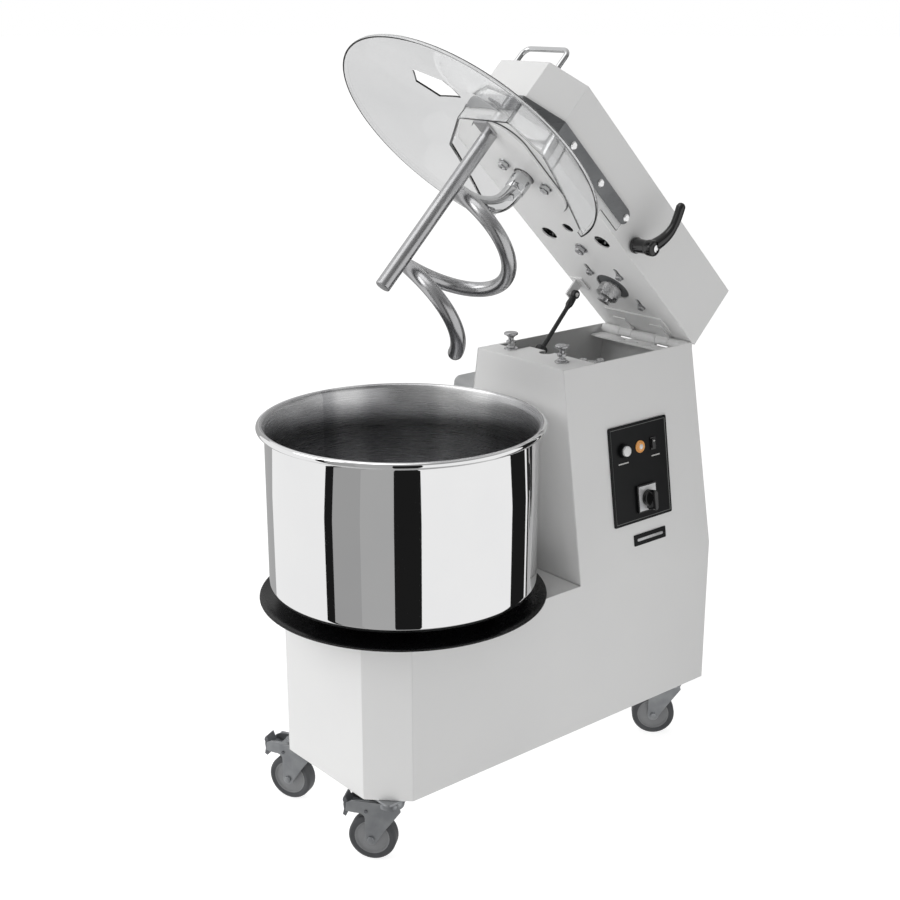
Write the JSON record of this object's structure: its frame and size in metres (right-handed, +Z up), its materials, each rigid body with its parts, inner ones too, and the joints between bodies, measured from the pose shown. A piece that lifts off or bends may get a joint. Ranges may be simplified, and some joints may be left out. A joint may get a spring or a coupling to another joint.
{
  "type": "spiral dough mixer",
  "caption": "Floor-standing spiral dough mixer with a lift-up head, removable steel bowl on a turntable, clear lid, side control plate and braked castors.",
  "frame": {"origin": "on the floor, under the centre of the bowl", "axes": "+Z up, -Y is the bowl end that the user faces, +Y is the hinge end, +X is the control side"},
  "size_m": [0.4789, 0.9097, 1.2983],
  "materials": {
    "white_enamel": "gloss white powder coat",
    "black_gloss": "gloss black enamel",
    "polished_steel": "mirror polished",
    "satin_steel": "satin",
    "machined_steel": "machined",
    "cast_iron": "cast, painted grey",
    "motor_paint": "cast aluminium, grey",
    "clear_lid": "clear",
    "black_plastic": "satin black",
    "white_plastic": "moulded",
    "amber_lens": "translucent lens",
    "grey_plastic": "moulded grey",
    "zinc": "bright zinc plate",
    "grey_rubber": "moulded grey rubber"
  },
  "bodies": {
    "frame": {"side_panel_left": "white_enamel", "side_panel_right": "white_enamel", "front_panel": "white_enamel", "deck_plate": "white_enamel", "column_front": "white_enamel", "rear_cover": "white_enamel", "cable_gland": "black_plastic", "base_pan": "white_enamel", "base_frame": "white_enamel", "top_bridge": "white_enamel", "latch_studs": "polished_steel", "hinge_pin": "machined_steel", "hinge_leaf": "white_enamel", "turntable_bearing": "cast_iron", "gearbox_case": "cast_iron", "motor": "motor_paint", "base_chain": "machined_steel", "control_plate": "black_plastic", "signal_lamp": "amber_lens", "switch_base": "white_plastic", "side_cowl": "grey_plastic", "castor_plates": "zinc"},
    "turntable": {"turntable_dish": "black_gloss", "turntable_shaft": "machined_steel"},
    "bowl": {"bowl": "polished_steel"},
    "column_drive": {"drive_shaft": "machined_steel", "lower_coupling": "machined_steel"},
    "head": {"head_leaf": "white_enamel", "head_cover": "white_enamel", "head_floor": "white_enamel", "mount_bolts": "machined_steel", "spindle_plate": "white_enamel", "spindle_housing": "cast_iron", "coupling_housing": "cast_iron", "head_chain": "machined_steel", "breaker_bar": "satin_steel", "lid": "clear_lid", "lid_band": "satin_steel", "band_screws": "machined_steel", "lift_handle": "polished_steel"},
    "head_drive": {"head_shaft": "machined_steel"},
    "spiral": {"spiral_shaft": "machined_steel", "spiral_arm": "polished_steel", "spiral_hook": "satin_steel"},
    "clamp": {"latch_shaft": "machined_steel", "clamp_lever": "black_plastic"},
    "strut_inner": {"strut_rod": "machined_steel"},
    "strut_outer": {"strut_tube": "black_plastic"},
    "start_button": {"start_button": "white_plastic"},
    "selector": {"selector_knob": "black_plastic"},
    "castor_front_right": {"fork_front_right": "zinc"},
    "wheel_front_right": {"wheel_front_right": "grey_rubber"},
    "pedal_front_right": {"brake_pedal_front_right": "grey_plastic"},
    "castor_front_left": {"fork_front_left": "zinc"},
    "wheel_front_left": {"wheel_front_left": "grey_rubber"},
    "pedal_front_left": {"brake_pedal_front_left": "grey_plastic"},
    "castor_rear_right": {"fork_rear_right": "zinc"},
    "wheel_rear_right": {"wheel_rear_right": "grey_rubber"},
    "castor_rear_left": {"fork_rear_left": "zinc"},
    "wheel_rear_left": {"wheel_rear_left": "grey_rubber"}
  },
  "joints": [
    {"name": "head_tilt", "type": "hinge", "parent": "frame", "child": "head", "pos_m": [0, 0.572, 0.752], "axis": [1, 0, 0], "range_deg": [0, 45], "stiffness_Nm_per_rad": 60, "springref_deg": -91.67},
    {"name": "bowl_spin", "type": "hinge", "parent": "frame", "child": "turntable", "pos_m": [0, 0, 0.4], "axis": [0, 0, 1], "continuous": true},
    {"name": "column_drive_spin", "type": "hinge", "parent": "frame", "child": "column_drive", "pos_m": [0, 0.433, 0.5], "axis": [0, 0, 1], "continuous": true},
    {"name": "bowl_lift", "type": "slide", "parent": "turntable", "child": "bowl", "axis": [0, 0, -1], "range_m": [-0.1, 0]},
    {"name": "spiral_spin", "type": "hinge", "parent": "head", "child": "spiral", "pos_m": [0, 0.26462, 1.07253], "axis": [0, 0.7071, 0.7071], "continuous": true},
    {"name": "head_drive_spin", "type": "hinge", "parent": "head", "child": "head_drive", "pos_m": [0, 0.48029, 0.85686], "axis": [0, 0.7071, 0.7071], "continuous": true},
    {"name": "clamp_turn", "type": "hinge", "parent": "head", "child": "clamp", "pos_m": [0, 0.41311, 0.95232], "axis": [1, 0, 0], "range_deg": [-50, 0]},
    {"name": "strut_pivot", "type": "hinge", "parent": "head", "child": "strut_inner", "pos_m": [-0.08, 0.46685, 0.83212], "axis": [1, 0, 0], "range_deg": [-62.6, 0]},
    {"name": "strut_slide", "type": "slide", "parent": "strut_inner", "child": "strut_outer", "axis": [0, -0.6755, -0.7373], "range_m": [-0.0847, 0]},
    {"name": "start_press", "type": "slide", "parent": "frame", "child": "start_button", "axis": [-0.9892, 0, -0.1465], "range_m": [0, 0.0025], "stiffness_N_per_m": 400, "springref_m": -0.002},
    {"name": "selector_turn", "type": "hinge", "parent": "frame", "child": "selector", "pos_m": [0.14542, 0.4265, 0.5107], "axis": [0.9892, 0, 0.1465], "range_deg": [-60, 60]},
    {"name": "swivel_front_right", "type": "hinge", "parent": "frame", "child": "castor_front_right", "pos_m": [0.12, -0.124, 0.1], "axis": [0, 0, 1], "continuous": true},
    {"name": "roll_front_right", "type": "hinge", "parent": "castor_front_right", "child": "wheel_front_right", "pos_m": [0.09636, -0.14247, 0.04], "axis": [0.6157, -0.788, 0], "continuous": true},
    {"name": "brake_front_right", "type": "hinge", "parent": "castor_front_right", "child": "pedal_front_right", "pos_m": [0.09006, -0.14739, 0.0905], "axis": [0.6157, -0.788, 0], "range_deg": [0, 10]},
    {"name": "swivel_front_left", "type": "hinge", "parent": "frame", "child": "castor_front_left", "pos_m": [-0.12, -0.124, 0.1], "axis": [0, 0, 1], "continuous": true},
    {"name": "roll_front_left", "type": "hinge", "parent": "castor_front_left", "child": "wheel_front_left", "pos_m": [-0.14696, -0.13715, 0.04], "axis": [0.4384, -0.8988, 0], "continuous": true},
    {"name": "brake_front_left", "type": "hinge", "parent": "castor_front_left", "child": "pedal_front_left", "pos_m": [-0.15415, -0.14066, 0.0905], "axis": [0.4384, -0.8988, 0], "range_deg": [0, 10]},
    {"name": "swivel_rear_right", "type": "hinge", "parent": "frame", "child": "castor_rear_right", "pos_m": [0.12, 0.548, 0.1], "axis": [0, 0, 1], "continuous": true},
    {"name": "roll_rear_right", "type": "hinge", "parent": "castor_rear_right", "child": "wheel_rear_right", "pos_m": [0.09916, 0.52642, 0.04], "axis": [0.7193, -0.6947, 0], "continuous": true},
    {"name": "swivel_rear_left", "type": "hinge", "parent": "frame", "child": "castor_rear_left", "pos_m": [-0.12, 0.548, 0.1], "axis": [0, 0, 1], "continuous": true},
    {"name": "roll_rear_left", "type": "hinge", "parent": "castor_rear_left", "child": "wheel_rear_left", "pos_m": [-0.1359, 0.52256, 0.04], "axis": [0.848, -0.5299, 0], "continuous": true}
  ],
  "couplings": [
    {"joint": "head_drive_spin", "follows": "spiral_spin", "ratio": 2.1053},
    {"joint": "column_drive_spin", "follows": "bowl_spin", "ratio": 3.1429},
    {"joint": "strut_pivot", "follows": "head_tilt", "ratio": -1.3696},
    {"joint": "strut_slide", "follows": "head_tilt", "m_per_rad": -0.1053}
  ]
}
